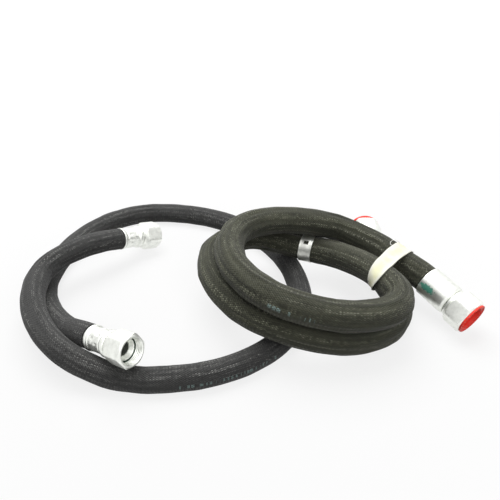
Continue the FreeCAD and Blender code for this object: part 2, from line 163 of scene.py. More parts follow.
LARGE_END_2 = (beside(LOW_TURN, 1, 1, -0.0158, 0.0029, LARGE_REST + 0.0050),
               heading(87.1, 0.03))

# %% [markdown]
# The photograph shows the back of the large coil, and the tail that leaves it, a little
# lower than even turns would lie. So four stations are moved, each by less than a
# centimetre.

# %% Stations moved
def nudged(station, x, y, z, lean=(0.0, 0.0)):
    """A station moved by a given offset, its direction leaned along Y and Z."""
    point, way = station
    return point + Vector((x, y, z)), (way + Vector((0, *lean))).normalized()


LOW_BACK = nudged(loop_side(LOW_TURN, "back", LEAN), 0.0015, 0.0004, -0.0003, (0.024, -0.160))
HIGH_BACK = nudged(loop_side(HIGH_TURN, "back", LEAN), 0.0025, 0.0043, -0.0080, (0.026, -0.114))
UNWINDING = nudged(LARGE_UNWINDING, 0.0012, -0.0003, -0.0033, (0.003, 0.023))
CROSSING = nudged(LARGE_CROSSING, 0.0022, -0.0024, -0.0047, (0.001, 0.015))

large_stations = end_run(LARGE_END_2, True)
large_stations += [loop_side(LOW_TURN, side, LEAN) for side in SIDES[:3]] + [LOW_BACK, TIGHT_BEND]
large_stations += [loop_side(HIGH_TURN, side, LEAN) for side in SIDES[1:3]] + [HIGH_BACK]
large_stations += [UNWINDING, CROSSING] + end_run(LARGE_END_1, False)
print(len(large_stations), "stations on the large hose")

# %% [markdown]
# ## From stations to a smooth line
#
# Between two stations a hose bends like a spring, so one cubic curve joins them. Its two
# handles are equally long, four thirds of the length at which the handles' tips would be
# twice that length apart. A few points on each such curve become control points of one
# NURBS line. Such a line passes a little inside its control points, so each is first
# pushed out by an eighth of its second difference, which puts the line back where the
# hose lies.

# %% Bends between stations
POINTS_PER_SIDE = 5      # between two stations, at most
POINT_SPACING = 0.020    # fewer where they would be closer than about this
SAME_WAY = 1e-9          # two directions nearer than this are one


def handle(start, way, end, end_way):
    """Length of the two handles of the smooth bend from one station to the next."""
    span = end - start
    back = span.dot(way + end_way)
    spread = 2 * (1 - way.dot(end_way))
    if spread < SAME_WAY:
        return span.length / 3
    return 4 / 3 * (math.sqrt(back * back + spread * span.dot(span)) - back) / spread


def bend_points(stations):
    """Points along the whole hose, a few for each stretch between two stations."""
    points = [stations[0][0]]
    for (start, way), (end, end_way) in zip(stations, stations[1:]):
        reach = handle(start, way, end, end_way)
        a, b = start + way * reach, end - end_way * reach
        steps = max(1, min(POINTS_PER_SIDE, round((end - start).length / POINT_SPACING)))
        for k in range(1, steps + 1):
            t = k / steps
            u = 1 - t
            points.append(start * u ** 3 + a * (3 * u * u * t) + b * (3 * u * t * t) + end * t ** 3)
    return points


def pushed_out(points):
    """The points, each moved against its second difference by an eighth."""
    moved = [points[0]]
    for before, here, after in zip(points, points[1:], points[2:]):
        moved.append(here - (before - here * 2 + after) / 8)
    return moved + [points[-1]]


small_controls = pushed_out(bend_points(small_stations))
large_controls = pushed_out(bend_points(large_stations))
print(len(small_controls), "and", len(large_controls), "control points")

# %% NURBS lines of the hoses
STEP = 0.0015            # between the points that are read from a hose's line
SAME_POINT = 1e-7        # two points nearer than this are one


def nurbs_line(name, points):
    """A Blender NURBS curve of one open spline through control points."""
    curve = bpy.data.curves.new(name, "CURVE")
    curve.dimensions = "3D"
    curve.resolution_u = 12
    spline = curve.splines.new("NURBS")
    spline.points.add(len(points) - 1)
    for control, point in zip(spline.points, points):
        control.co = (*point, 1)
    spline.order_u = 3
    spline.use_endpoint_u = True
    return curve


def vertices(mesh):
    """Points of a mesh as an array."""
    return np.array([v.co[:] for v in mesh.vertices])


def runs_along(line):
    """Distance from the start for each point of a line."""
    return np.concatenate([[0], np.cumsum(np.linalg.norm(np.diff(line, axis=0), axis=1))])


def walked(curve, step):
    """Even points along a curve, read from it with no bevel, and its length."""
    line = bpy.data.objects.new("line", curve)
    mesh = bpy.data.meshes.new_from_object(line)
    raw = vertices(mesh)
    bpy.data.objects.remove(line)
    bpy.data.meshes.remove(mesh)
    run = runs_along(raw)
    keep = np.concatenate([[True], np.diff(run) > SAME_POINT])
    even = np.linspace(0, run[-1], int(run[-1] / step) + 1)
    return np.column_stack([np.interp(even, run[keep], raw[keep, k]) for k in range(3)]), run[-1]


small_line, small_length = walked(nurbs_line("small hose line", small_controls), STEP)
large_line, large_length = walked(nurbs_line("large hose line", large_controls), STEP)
print("small hose %.3f m, large hose %.3f m" % (small_length, large_length))

# %% [markdown]
# ## Hose surfaces
#
# A bevelled curve would be quick, but it can't be pressed flat on the floor or turn oval
# in a bend. So rings of points are carried along the line, each turned as little as
# possible from the last. The UV map holds metres along the hose and turns round it, which
# gives the braid its real scale.

# %% Vectors
def unit(vector):
    """A vector at length one."""
    return vector / np.linalg.norm(vector)


def square_to(vector, way):
    """Direction of the part of a vector that is square to a unit vector."""
    return unit(vector - way * way.dot(vector))


def even_angles(count):
    """Angles at even steps round an axis."""
    return np.linspace(0, 2 * math.pi, count, endpoint=False)


def spokes(angles, right, up):
    """Unit vectors at angles from right toward up, in one frame or in many."""
    return np.cos(angles)[:, None] * right[..., None, :] + np.sin(angles)[:, None] * up[..., None, :]


def carried_frames(points):
    """Tangent, normal and side vectors along a line, with no needless twist."""
    tangent = np.gradient(points, axis=0)
    tangent /= np.linalg.norm(tangent, axis=1)[:, None]
    normal = np.zeros_like(points)
    normal[0] = unit(np.cross([0, 0, 1.0], tangent[0]))
    for k in range(1, len(points)):
        normal[k] = square_to(normal[k - 1], tangent[k])
    return tangent, normal, np.cross(tangent, normal)


print("square to up:", square_to(np.array([1.0, 0, 1.0]), np.array([0, 0, 1.0])))

# %% Meshes
def new_object(name, points, faces):
    """A smooth mesh object from arrays of points and faces."""
    mesh = bpy.data.meshes.new(name)
    mesh.from_pydata(points.tolist(), [], faces)
    mesh.shade_smooth()
    obj = bpy.data.objects.new(name, mesh)
    bpy.context.collection.objects.link(obj)
    return obj


def grid_faces(rows, columns):
    """Quads of a grid whose columns close into a ring."""
    index = np.arange(rows * columns).reshape(rows, columns)
    right = np.roll(index, -1, axis=1)
    return np.stack([index[:-1], right[:-1], right[1:], index[1:]], axis=-1).reshape(-1, 4)


def capped_tube(name, rings):
    """A mesh object through a row of rings, with a cap at each end."""
    rows, columns = rings.shape[:2]
    caps = [range(columns)[::-1], range((rows - 1) * columns, rows * columns)]
    faces = grid_faces(rows, columns).tolist() + [list(cap) for cap in caps]
    return new_object(name, rings.reshape(-1, 3), faces)


def closed_grid(name, rings):
    """A mesh object through a row of rings, the last joined to the first."""
    rows, columns = rings.shape[:2]
    faces = grid_faces(rows + 1, columns) % (rows * columns)
    return new_object(name, rings.reshape(-1, 3), faces.tolist())


def set_uv(obj, name, pairs):
    """Give a mesh object a UV map, one pair for each corner of its faces."""
    layer = obj.data.uv_layers.new(name=name)
    layer.data.foreach_set("uv", pairs.astype(np.float32).ravel())


def placed(obj, body, node):
    """Let a new piece ride on a body in place of its CAD node."""
    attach(obj, body)
    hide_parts(node)
    return obj


print("three rings of four points have", len(grid_faces(3, 4)), "quads between them")

# %% Tube mesh
RING = 84
FLOOR_CLEAR = 0.0001


def tube_uv(run):
    """Metres along and turns round at each corner of a tube's quads, and zero on its caps."""
    around = np.arange(RING + 1) / RING
    pairs = np.zeros((len(run) - 1, RING, 4, 2))
    pairs[..., 0] = np.stack([run[:-1], run[:-1], run[1:], run[1:]], axis=-1)[:, None]
    pairs[..., 1] = np.stack([around[:-1], around[1:], around[1:], around[:-1]], axis=-1)[None]
    return np.concatenate([pairs.reshape(-1, 2), np.zeros((2 * RING, 2))])


def tube_mesh(name, line, radius, relief):
    """A tube round a line; relief gives each ring point's extra height in metres."""
    tangent, normal, side = carried_frames(line)
    angle = even_angles(RING)
    run = runs_along(line)
    bend = np.gradient(tangent, axis=0) / np.gradient(run)[:, None]
    out = spokes(angle, normal, side)
    inward = np.einsum("kj,kaj->ka", bend, out)
    height = radius + relief(run[:, None], angle[None], inward)
    ring = line[:, None] + out * height[:, :, None]
    ring[:, :, 2] = np.maximum(ring[:, :, 2], FLOOR_CLEAR)
    obj = capped_tube(name, ring)
    set_uv(obj, "along_and_round", tube_uv(run))
    return obj


print("rings of", RING, "points")

# %% [markdown]
# ## How a textile-covered hose isn't round
#
# Its wire braid lets it go a little oval in a bend, and its cotton cover is a touch too
# long there. So the cover gathers into soft lengthwise folds, deeper where the hose bends
# more, and into short creases inside the tightest bend.

# %% Relief of the covers
WAVES = 7                # sines in each slow swelling
OVAL = 0.10              # share of the radius lost, times hose radius over bend radius
SWELL = 0.00025
FOLDS = (9, 14)          # two sets of lengthwise folds, by their number round the hose
FOLD_HEIGHT = 0.00055
CREASE = 0.0022
CREASE_PITCH = 0.0065
END_FADE = 0.02          # length at both ends over which the relief dies out


def wave(run, angle, seed, length, turns=3):
    """Slow random swelling of a soft tube, built from a few fixed sines."""
    rng = np.random.default_rng(seed)
    total = 0
    for _ in range(WAVES):
        f, m, p = rng.uniform(0.5, 2.2) / length, rng.integers(0, turns + 1), rng.uniform(0, 6.28)
        total = total + np.sin(2 * math.pi * f * run + m * angle + p)
    return total / WAVES


def hose_relief(radius, seed, length, fullness, run, angle, inward):
    """Oval bends, slow swelling, lengthwise folds, and creases in the tight bends."""
    bent = np.abs(inward).max(axis=1, keepdims=True) * radius
    oval = -OVAL * radius * np.clip(np.abs(inward) * radius, 0, 0.5)
    swell = SWELL * wave(run, angle, seed, 0.05)
    drift = 2.6 * wave(run, angle, seed + 1, 0.10, 1)
    strength = np.clip(0.35 + 7.0 * (bent - 0.08), 0.35, 1.1)
    strength = strength * np.clip(0.8 + wave(run, angle, seed + 2, 0.07, 1), 0.3, 1.4)
    fold = np.sin(FOLDS[0] * angle + drift) + 0.6 * np.sin(FOLDS[1] * angle - 1.7 * drift + 2)
    fold = FOLD_HEIGHT * fullness * strength * fold
    tight = np.clip(inward * radius - 0.20, 0, 0.3)
    ripple = 2 * math.pi * run / CREASE_PITCH + wave(run, angle, seed + 5, 0.03) * 3
    crease = CREASE * tight * np.sin(ripple)
    end = np.clip(np.minimum(run, length - run) / END_FADE, 0, 1)
    return (oval + swell + fold + crease) * end


def hose_cover(size, line, length, diameter, seed, fullness):
    """The cover of the small or the large hose, on its body in place of its CAD node."""
    relief = partial(hose_relief, diameter / 2, seed, length, fullness)
    cover = tube_mesh(size + "_hose_cover", line, diameter / 2, relief)
    return placed(cover, size + "_line", size + "_hose")


small_hose = hose_cover("small", small_line, small_length, SMALL_OD, 3, 0.7)
large_hose = hose_cover("large", large_line, large_length, LARGE_OD, 11, 1.0)
print("cover meshes", len(small_hose.data.vertices), len(large_hose.data.vertices))

# %% [markdown]
# ## Crimped ends
#
# Ferrules, nuts and plugs are turned on a lathe, so each is one closed section swept
# round an axis. A shape function then changes the radius by angle: it planes the
# hexagon's flats, presses the crimping dies' marks and cuts the thread.

# %% Sweep of a section
EDGE_SHARE = 0.35        # of an edge that the round at its end may take
CROWDING = 0.6           # below 1, angles crowd near a polygon's corners
CORNER_REACH = 0.968     # how far a polygon's corners reach, as a share of sharp ones
CORNER_POWER = 60.0      # a higher one rounds them less


def softened(corners, cut):
    """A closed section with each corner eased by a small round."""
    corners = np.array(corners, float)
    eased = []
    for k, here in enumerate(corners):
        tips = []
        for other in (corners[k - 1], corners[(k + 1) % len(corners)]):
            leg = other - here
            size = np.linalg.norm(leg)
            tips.append(here + leg * min(cut, EDGE_SHARE * size) / size)
        eased += [tips[0], (tips[0] + 2 * here + tips[1]) / 4, tips[1]]
    return np.array(eased)


def divided(section, step):
    """A closed section whose edges are no longer than the step."""
    points = []
    for here, after in zip(section, np.roll(section, -1, axis=0)):
        count = max(1, math.ceil(np.linalg.norm(after - here) / step))
        points += [here + (after - here) * k / count for k in range(count)]
    return np.array(points)


def axis_frame(end):
    """A hose end's point and direction, and two directions across: to one side and up."""
    point, way = np.array(end[0]), np.array(end[1])
    high = square_to(np.array([0, 0, 1]), way)
    return point, way, np.cross(high, way), high


def turned(name, section, end, shape, angles, cut=0.35, step=0.8):
    """Closed section of (millimetres along, radius) swept round a hose end's axis."""
    rows = divided(softened(section, cut), step)
    along = rows[:, :1]
    radius = shape(along, rows[:, 1:], angles[None]) / 1000
    point, way, across, high = axis_frame(end)
    out = spokes(angles, across, high)
    return closed_grid(name, point + out[None] * radius[:, :, None] + way * (along / 1000)[:, :, None])


def corner_angles(sides, first, per_side):
    """Angles that crowd near the corners of a regular polygon."""
    t = np.linspace(-1, 1, per_side, endpoint=False)
    side = math.pi / sides * np.sign(t) * np.abs(t) ** CROWDING
    return np.sort((first + np.add.outer(np.arange(sides) * 2 * math.pi / sides, side)).ravel())


def polygon_radius(angle, sides, flat, first):
    """Radius of a regular polygon with slightly rounded corners; a flat faces the first angle."""
    half = math.pi / sides
    turn = (angle - first + half) % (2 * half) - half
    sharp = flat / np.cos(turn)
    limit = flat / math.cos(half) * CORNER_REACH
    return (sharp ** -CORNER_POWER + limit ** -CORNER_POWER) ** (-1 / CORNER_POWER)


print(len(divided(softened([(0, 1), (5, 1), (5, 2), (0, 2)], 0.35), 0.8)), "points round a plain ring")

# %% Sizes of the two kinds of ends, in millimetres as in the CAD source
SMALL_END = dict(hose=13.1, ferrule=13.7, ferrule_in=11.4, ferrule_len=29.0, start=29.5, face=56.5,
                 flat=15.875, collar=13.2, thread=12.35, head=11.7, neck=9.5)
LARGE_END = dict(hose=15.9, ferrule=17.6, ferrule_in=15.5, ferrule_len=36.0, start=36.5, face=62.5,
                 flat=19.05, collar=16.5, thread=15.525, head=14.9, neck=12.5)
FLAT_DOWN = -math.pi / 2

print("hexagons %.2f and %.2f mm across flats" % (2 * SMALL_END["flat"], 2 * LARGE_END["flat"]))

# %% Section and shape of a nut
THREAD_PITCH = 2.117
THREAD_DEPTH = 1.0
THREAD_FROM = 1.0        # behind the nut's face
THREAD_LENGTH = 10.0
THREAD_END = 1.05        # share of that length at which the thread has run out
RUN_OUT = 12             # a higher one makes it start and end faster
LIP = 1.5                # the nut's outside begins this far beyond its thread


def nut_section(s):
    """Section of a swivel nut: collar, hexagon's envelope, mouth, thread and seat room."""
    corner = s["flat"] / math.cos(math.pi / 6)
    flare = (corner - s["collar"]) * 0.8
    start, face, thread, neck = s["start"], s["face"], s["thread"], s["neck"] + 0.06
    head = s["head"] + 0.3
    return [(start, neck), (start, s["collar"] - 0.6), (start + 0.6, s["collar"]),
            (start + 2.6, s["collar"]), (start + 2.6 + flare, corner + 0.1),
            (face - 2.6, corner + 0.1), (face - 1.0, corner - 2.4), (face, corner - 3.2),
            (face, thread + 1.4), (face - 1.4, thread), (face - 11.4, thread),
            (face - 11.9, thread + 0.8), (face - 13.2, thread + 0.8), (face - 13.6, head),
            (face - 17.9, head), (face - 19.5, neck)]


def nut_shape(s, turn, along, radius, angle):
    """Hexagon outside and a real thread inside."""
    hexagon = polygon_radius(angle, 6, s["flat"], FLAT_DOWN + turn)
    cut = np.where(radius > s["thread"] + LIP, np.minimum(radius, hexagon), radius)
    place = (s["face"] - THREAD_FROM - along) / THREAD_LENGTH
    inside = (np.abs(radius - s["thread"]) < 0.3) & (place > 0) & (place < THREAD_END)
    ridge = np.abs(((along / THREAD_PITCH - angle / (2 * math.pi)) % 1) * 2 - 1)
    fade = np.clip(place * RUN_OUT, 0, 1) * np.clip((THREAD_END - place) * RUN_OUT, 0, 1)
    return cut + inside * fade * THREAD_DEPTH * np.clip(ridge * 1.3 - 0.15, 0, 1)


print("a nut's section has", len(nut_section(SMALL_END)), "corners")

# %% Sections and shapes of the ferrules
DIES = 8                 # crimping dies that close round a small ferrule
DIE_DEPTH = 1.35
SKIRT = (6.5, 8.5)       # from the mouth, and from the front end, to the crimped stretch
SKIRT_FADE = 1.5
ROW = 6.75               # between the two rows of bites
ROW_MIDDLE = 3.4
BITE_HALF = 2.6
BITE_DEPTH = 0.55
HAMMER_DEPTH = 0.24
PLATING_DEPTH = 0.05     # unevenness of the rims and of the plain skirts


def ferrule_inside(s):
    """The inner wall of a ferrule, from its front lip back to its mouth."""
    end, neck = s["ferrule_len"], s["neck"] + 0.05
    return [(end, neck), (end - 1.9, neck), (end - 1.9, s["ferrule_in"]), (3, s["ferrule_in"]),
            (0, s["hose"] + 0.05)]


def dented_ferrule(s):
    """Section of the small ferrule: rolled lip, groove, skirt, groove and collar."""
    r, end = s["ferrule"], s["ferrule_len"]
    return [(0, r - 0.2), (0.6, r), (2.0, r), (2.8, r - 0.7), (4.8, r - 0.7), (5.2, r - 1.6),
            (6.2, r - 1.6), (6.9, r - 1.0), (end - 8.0, r - 1.0), (end - 7.4, r - 1.6),
            (end - 6.8, r - 1.6), (end - 5.6, r - 0.1), (end - 4.2, r + 0.4), (end - 2.4, r + 0.4),
            (end - 0.7, r - 0.2), (end, r - 1.2)] + ferrule_inside(s)


def smooth_ferrule(s):
    """Section of the large ferrule: plain skirt, rounded rims and a short necked collar."""
    r, end = s["ferrule"], s["ferrule_len"]
    return [(0, r - 0.8), (0.4, r - 0.2), (1.2, r), (end - 3.4, r), (end - 1.6, r - 0.5),
            (end - 0.4, r - 1.6), (end, r - 2.4)] + ferrule_inside(s)


def on_outside(s, radius):
    """1 on the outer skin of a ferrule, else 0."""
    return radius > s["ferrule_in"] + 0.4


def bumps(along, angle, seed, size):
    """Irregular hammer marks over a cylinder, mostly between -1 and 1."""
    rng = np.random.default_rng(seed)
    total = 0
    for _ in range(12):
        f, m, p = rng.uniform(-2, 2) / size, rng.integers(-7, 8), rng.uniform(0, 6.28)
        total = total + np.sin(f * along * math.pi + m * angle + p)
    return total / 5


def crimped_shape(s, seed, along, radius, angle):
    """Die flats with ridges between them, two staggered rows of bites, and rough marks."""
    end = s["ferrule_len"]
    near, far = (along - SKIRT[0]) / SKIRT_FADE, (end - SKIRT[1] - along) / SKIRT_FADE
    skirt = np.clip(near, 0, 1) * np.clip(far, 0, 1)
    planed = np.minimum(radius, polygon_radius(angle, DIES, s["ferrule"] - DIE_DEPTH, FLAT_DOWN))
    stagger = np.where(along < 2 * ROW, 0.0, math.pi / DIES)
    bite = np.clip(np.cos(DIES * (angle + stagger)), 0, 1) ** 2
    bite = bite * np.clip(1 - ((along % ROW - ROW_MIDDLE) / BITE_HALF) ** 2, 0, 1)
    rough = HAMMER_DEPTH * bumps(along, angle, seed, 6.0)
    lip = PLATING_DEPTH * bumps(along, angle, seed + 9, 3.0)
    change = skirt * ((planed - radius) - BITE_DEPTH * bite + rough) + lip
    return radius + on_outside(s, radius) * change


def plain_shape(s, seed, along, radius, angle):
    """A turned skirt with the faint unevenness of its plating."""
    return radius + on_outside(s, radius) * PLATING_DEPTH * bumps(along, angle, seed, 8.0)


print("the ferrules' sections have", len(dented_ferrule(SMALL_END)), "and",
      len(smooth_ferrule(LARGE_END)), "corners")

# %% Ferrules and nuts
END_1_SLIDE = 0.0022     # small end 1 lies this much further out than the CAD has it
END_2_SLIDE = -0.0030    # and small end 2 this much further back over its hose
NUT_TURNS = {"small_end_1": math.radians(-8)}


def slid(end, distance):
    """A hose end moved along its own axis."""
    return np.array(end[0]) + np.array(end[1]) * distance, end[1]


ENDS = {"small_end_1": (slid(SMALL_END_1, END_1_SLIDE), SMALL_END, "small_line"),
        "small_end_2": (slid(SMALL_END_2, END_2_SLIDE), SMALL_END, "small_line"),
        "large_end_1": (LARGE_END_1, LARGE_END, "large_line"),
        "large_end_2": (LARGE_END_2, LARGE_END, "large_line")}
pieces = {}
for seed, (name, (end, s, line)) in enumerate(ENDS.items()):
    small = s is SMALL_END
    section = dented_ferrule(s) if small else smooth_ferrule(s)
    shape = partial(crimped_shape if small else plain_shape, s, seed)
    ferrule = turned(name + "_ferrule_crimped", section, end, shape, even_angles(160))
    pieces[name + "_ferrule"] = placed(ferrule, line, name + "_ferrule")
    turn = NUT_TURNS.get(name, 0.0)
    nut = turned(name + "_nut_threaded", nut_section(s), end, partial(nut_shape, s, turn),
                 corner_angles(6, FLAT_DOWN + turn, 24), step=0.3)
    pieces[name + "_nut"] = placed(nut, name + "_swivel", name + "_nut")
print("turned", ", ".join(pieces))

# %% Nipples in the open mouths
BORE = 7.2
SEAT_DEPTH = 9.5         # nut's face to the head of the nipple
SEAT_TAN = math.tan(math.radians(37))


def nipple_section(s):
    """Section of the nipple's neck and head with its 37 degree cone."""
    tip, head = s["face"] - SEAT_DEPTH, s["head"]
    return [(s["ferrule_len"] - 4, BORE), (s["ferrule_len"] - 4, s["neck"]), (tip - 7.6, s["neck"]),
            (tip - 6.2, head), (tip - 0.5, head), (tip, head - 0.5), (tip, head - 1.3),
            (tip - (head - 1.3 - BORE) / SEAT_TAN, BORE)]


def plain(along, radius, angle):
    """A plain turned shape."""
    return radius + 0 * angle


for name in ("small_end_1", "small_end_2"):
    end, s, line = ENDS[name]
    nipple = turned(name + "_nipple_seat", nipple_section(s), end, plain, even_angles(96), cut=0.25)
    pieces[name + "_nipple"] = placed(nipple, line, name + "_nipple")
print("nipples seated")

# %% Plugs
PLUG_RADIUS = {"large_end_1": 18.6, "large_end_2": 19.8}
ASKEW = {"large_end_1": 0.0, "large_end_2": 1.5}   # how far the flange sits off the middle
ASKEW_TOWARD = 0.35      # radians round the axis
PLUG_STEM = 9.0
PLUG_FLANGE = 2.2
FLANGE_FROM = 16.5       # only the flange is wider than this


def plug_section(s, flange):
    """Section of a moulded cup plug: closed end, stem, flange and hollow middle."""
    face, stem = s["face"] + 0.05, s["thread"] - 0.3
    cup = stem - 1.8
    bottom, rim = face - PLUG_STEM, face + PLUG_FLANGE
    return [(bottom, 0.0), (bottom, stem - 1.2), (bottom + 1.0, stem - 0.3), (face - 2, stem),
            (face, stem), (face, flange - 0.4), (face + 0.4, flange),
            (rim - 0.5, flange), (rim, flange - 0.5), (rim, flange - 1.9),
            (rim - 1.0, flange - 2.3), (rim - 1.0, cup + 0.9), (face - 1.2, cup),
            (bottom + 1.8, cup - 0.5), (bottom + 1.8, 0.0)]


def askew(amount, along, radius, angle):
    """A turned shape whose flange sits a little off the middle."""
    return radius + (radius > FLANGE_FROM) * amount * np.cos(angle - ASKEW_TOWARD)


for name, flange in PLUG_RADIUS.items():
    end, s = ENDS[name][:2]
    plug = turned(name + "_plug_moulded", plug_section(s, flange), end,
                  partial(askew, ASKEW[name]), even_angles(120), cut=0.25)
    pieces[name + "_plug"] = placed(plug, name + "_cap", name + "_plug")
print(len(pieces), "turned pieces")

# %% [markdown]
# ## Cloth strap
#
# The strap is a flat cotton tape pulled once round the tail and the tight bend. In each
# plane across its width it follows the tightest loop round the two strands' sections. A
# strand that crosses the plane at a slant has an ellipse there, so the loop is the hull
# of two ellipses.

# %% Hull of the two strands in one plane
STRAP_WIDTH = 0.0190
STRAP_TO_MOUTH = 0.0400
STRAP_TO_RIGHT = 0.0120
BEND_WAY_BACK = 0.0070   # the bend's direction is read this far before the strap
STRAP_SLANT = 0.24       # how far the loop leans along the tail for each metre across
STRAP_GAP = 0.0003
NEARBY = 25              # points each way within which a strand meets the strap's plane


def line_index(line, point):
    """Index of the line's point nearest to a point."""
    return int(np.argmin(np.linalg.norm(line - np.array(point), axis=1)))


def way_at(line, i):
    """Direction of a line at one of its points."""
    return unit(line[i + 2] - line[i - 2])


def ellipse(line, near, origin, normal, radius):
    """Points of a hose's section in a plane."""
    i = min(range(near - NEARBY, near + NEARBY), key=lambda k: abs((line[k] - origin).dot(normal)))
    way = way_at(line, i)
    centre = line[i] + way * (origin - line[i]).dot(normal) / way.dot(normal)
    short = unit(np.cross(normal, way))
    long = np.cross(short, normal)
    a = even_angles(180)[:, None]
    return centre + radius * (np.cos(a) * short + np.sin(a) / abs(way.dot(normal)) * long)


def hull(flat):
    """Convex outline of flat points."""
    return flat[convex_hull_2d(flat.tolist())]


def even_loop(outline, count):
    """Closed outline walked in even steps from its rightmost point."""
    outline = np.roll(outline, -int(np.argmax(outline[:, 0])), axis=0)
    closed = np.concatenate([outline, outline[:1]])
    run = runs_along(closed)
    t = np.linspace(0, run[-1], count, endpoint=False)
    return np.column_stack([np.interp(t, run, closed[:, k]) for k in range(2)]), run[-1]


print("strap %.0f mm wide" % (STRAP_WIDTH * 1000))

# %% Strap mesh
LOOP = 160
ACROSS = 15
TAPE = 0.0007
SELVEDGE = 0.0003        # how much thicker the woven edges are
RIPPLE = 0.00022
SLIPS = (0.0007, 0.0004)  # how far the tape wanders sideways, in two slow waves
PINCH = 0.62             # how much narrower the tape is where it turns under the bend
PINCH_PLACE = 0.58       # share of the way round at which it is narrowest
PINCH_SPREAD = 0.10


def strap_planes():
    """Origins and shared axes of the planes across the strap."""
    tail = len(large_line) - 1 - round(STRAP_TO_MOUTH / STEP)
    bend = line_index(large_line, TIGHT_BEND[0]) - round(STRAP_TO_RIGHT / STEP)
    before = bend - round(BEND_WAY_BACK / STEP)
    normal = unit(way_at(large_line, tail) + way_at(large_line, before))
    right = square_to(large_line[tail] - large_line[bend], normal)
    normal = unit(normal + STRAP_SLANT * right)
    right = square_to(right, normal)
    return tail, bend, normal, right, np.cross(normal, right)


def strap_skins(share, planes):
    """Inner and outer points of the tape in one plane across it, and the way round it."""
    tail, bend, normal, right, up = planes
    origin = large_line[tail] + normal * share * STRAP_WIDTH
    both = np.concatenate([ellipse(large_line, i, origin, normal, LARGE_OD / 2 + STRAP_GAP)
                           for i in (tail, bend)]) - origin
    loop, length = even_loop(hull(np.column_stack([both @ right, both @ up])), LOOP)
    ahead = np.roll(loop, -1, axis=0) - np.roll(loop, 1, axis=0)
    out = np.column_stack([ahead[:, 1], -ahead[:, 0]]) / np.linalg.norm(ahead, axis=1)[:, None]
    t = np.arange(LOOP) / LOOP
    edge = max(0.0, abs(share) * 2 - 0.8) * 5
    ripple = np.maximum(RIPPLE * np.sin(14 * math.pi * t + 5 * share) * (0.4 + edge), 0)
    slip = SLIPS[0] * np.sin(6 * math.pi * t + 1.0) + SLIPS[1] * np.sin(17 * t)
    pinch = PINCH * np.exp(-((t - PINCH_PLACE) / PINCH_SPREAD) ** 2)
    shift = normal * (slip - share * STRAP_WIDTH * pinch)[:, None]
    flats = [loop + out * (lift + ripple)[:, None] for lift in (0.0, TAPE + SELVEDGE * edge)]
    return [origin + flat[:, :1] * right + flat[:, 1:] * up + shift for flat in flats], length


def strap_mesh(name):
    """Thin closed band: outer skin, inner skin and two edges, with thicker selvedges."""
    planes = strap_planes()
    inner, outer = [], []
    for share in np.arange(ACROSS) / (ACROSS - 1) - 0.5:
        (low, high), length = strap_skins(share, planes)
        inner.append(low)
        outer.append(high)
    obj = closed_grid(name, np.array(outer + inner[::-1]))
    widths = np.concatenate([np.linspace(0, 1, ACROSS), np.linspace(1, 0, ACROSS)])
    point = np.array([corner.vertex_index for corner in obj.data.loops])
    pairs = np.column_stack([(point % LOOP) / LOOP * length, widths[point // LOOP] * STRAP_WIDTH])
    set_uv(obj, "along_and_across", pairs)
    return obj, length


strap, strap_length = strap_mesh("cloth_strap")
placed(strap, "large_line", "tie_strap")
print("strap %.0f mm round" % (strap_length * 1000))

# %% Thread at the strap's edge
YARN_RADIUS = 0.00028
YARN_STEP = 0.0004
YARN_SIDE = (0, 0.57, 0.82)   # it starts near the point of the edge that is furthest this way
YARN_START = (0, -0.0010, 0.0006)
CURL = ((0, 0, 0), (-0.002, 0.001, 0.0015), (-0.006, 0.001, 0.003), (-0.010, -0.002, 0.0025),
        (-0.012, -0.006, 0.0015), (-0.010, -0.009, 0.001), (-0.006, -0.009, 0.002),
        (-0.003, -0.012, 0.0015))


def thread_tube(name, curve):
    """A thin round thread along a curve."""
    line = walked(curve, YARN_STEP)[0]
    normal, side = carried_frames(line)[1:]
    return capped_tube(name, line[:, None] + YARN_RADIUS * spokes(even_angles(8), normal, side))


skin = vertices(strap.data)[:LOOP * ACROSS].reshape(ACROSS, LOOP, 3)
edge = skin[np.argmin(skin[:, :, 0].mean(axis=1))]
start = edge[np.argmax(edge @ YARN_SIDE)] + YARN_START
thread = thread_tube("strap_thread", nurbs_line("thread line", [start + np.array(c) for c in CURL]))
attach(thread, "large_line")
print("thread starts at", start.round(3))

# %% [markdown]
# ## Identity band
#
# A thin metal strip closed round the hose, with a raised border along each edge and one
# oblong slot where its end is tucked in. The strip is a grid of two skins; the cells of
# the slot are left out and the rim between the skins is closed.

# %% Band mesh
BAND_WIDTH = 0.0150
BAND_WALL = 0.0005
BAND_GAP = 0.0007
BAND_BORDER = 0.00025
BAND_PAST_BACK = 0.0445   # along the hose from the low turn's back
BAND_POINTS = 144         # round the hose
SLOT = (0.0064, 0.0038)   # along the hose and round it
SLOT_TOWARD = (-0.1, -0.60, 0.80)


def metal_cells(along, angle, radius):
    """Which cells of the band's grid are metal: all but those in the slot."""
    turn = (angle + math.pi) % (2 * math.pi) - math.pi
    slot_row = (np.abs(along[:-1] + np.diff(along) / 2) < SLOT[0] / 2)[:, None]
    slot_column = (np.abs(turn + math.pi / BAND_POINTS) < SLOT[1] / 2 / radius)[None]
    return ~(slot_row & slot_column)


def strip_faces(solid):
    """Two skins over the solid cells of a ring strip, and walls between them where those end."""
    rows, columns = solid.shape
    inner, faces = (rows + 1) * columns, []
    solid = np.pad(solid, ((1, 1), (0, 0)))
    for r in range(rows):
        for c in range(columns):
            if not solid[r + 1, c]:
                continue
            d = (c + 1) % columns
            a, b = r * columns + c, r * columns + d
            e, f = b + columns, a + columns
            faces += [(a, b, e, f), (f + inner, e + inner, b + inner, a + inner)]
            sides = ((solid[r, c], b, a), (solid[r + 2, c], f, e),
                     (solid[r + 1, c - 1], a, f), (solid[r + 1, d], e, b))
            faces += [(p, q, q + inner, p + inner) for closed, p, q in sides if not closed]
    return faces


